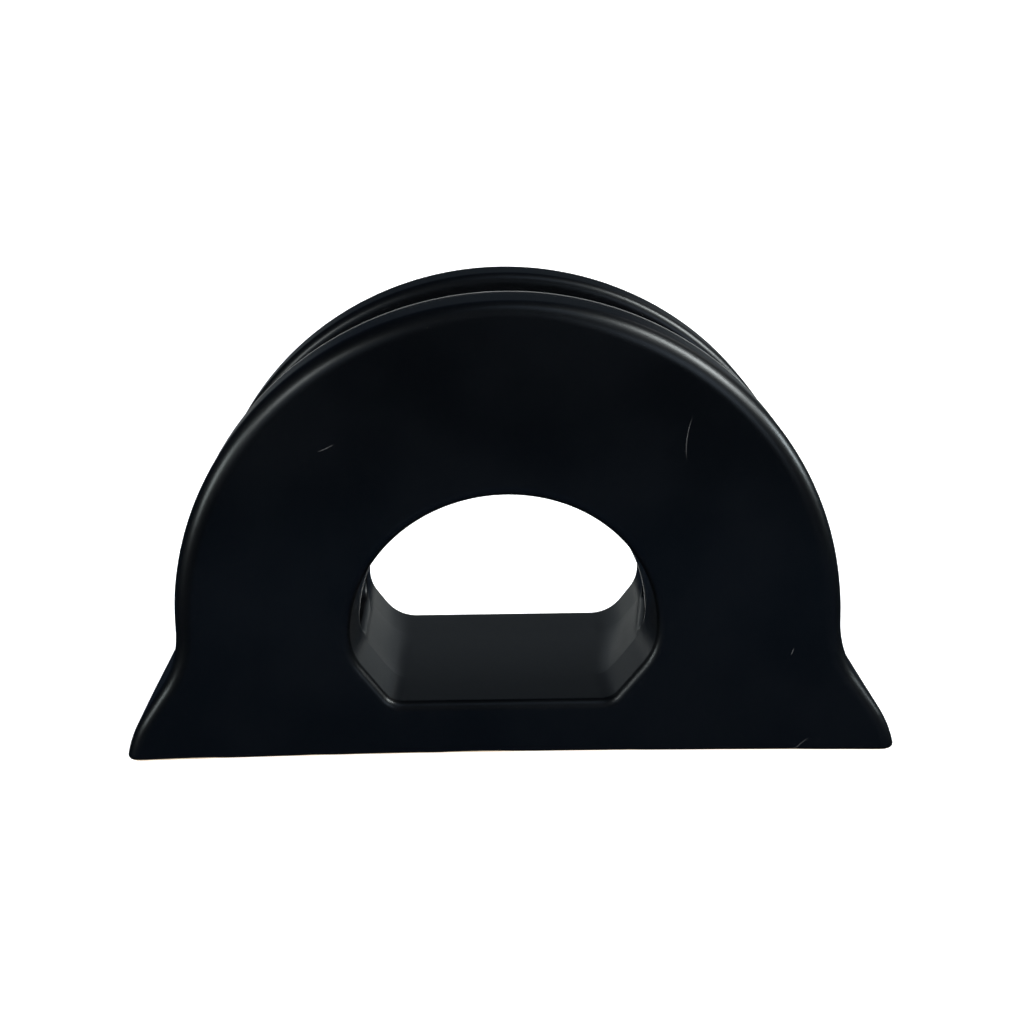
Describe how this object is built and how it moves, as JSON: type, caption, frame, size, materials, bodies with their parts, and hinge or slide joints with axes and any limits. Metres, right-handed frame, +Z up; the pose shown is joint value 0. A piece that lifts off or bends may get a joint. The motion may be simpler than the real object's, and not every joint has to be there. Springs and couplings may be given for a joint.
{
  "type": "napkin holder",
  "caption": "Glazed stoneware napkin holder: arch walls on a flared base, with a slot between them for upright napkins and a window through both.",
  "frame": {"origin": "on the table, below the middle of the holder", "axes": "+X along the holder's width, +Y from the front wall to the rear wall, +Z up"},
  "size_m": [0.178, 0.07, 0.1062],
  "materials": {
    "black_glaze": "satin blue-black glaze on stoneware",
    "bisque": "unglazed, dry and slightly gritty",
    "pad_foam": "matte, non-slip"
  },
  "bodies": {
    "root": {"base_block": "black_glaze", "front_wall": "black_glaze", "rear_wall": "black_glaze", "bottom_plate": "bisque", "pad_front_left": "pad_foam", "pad_front_right": "pad_foam", "pad_rear_left": "pad_foam", "pad_rear_right": "pad_foam"}
  },
  "joints": []
}
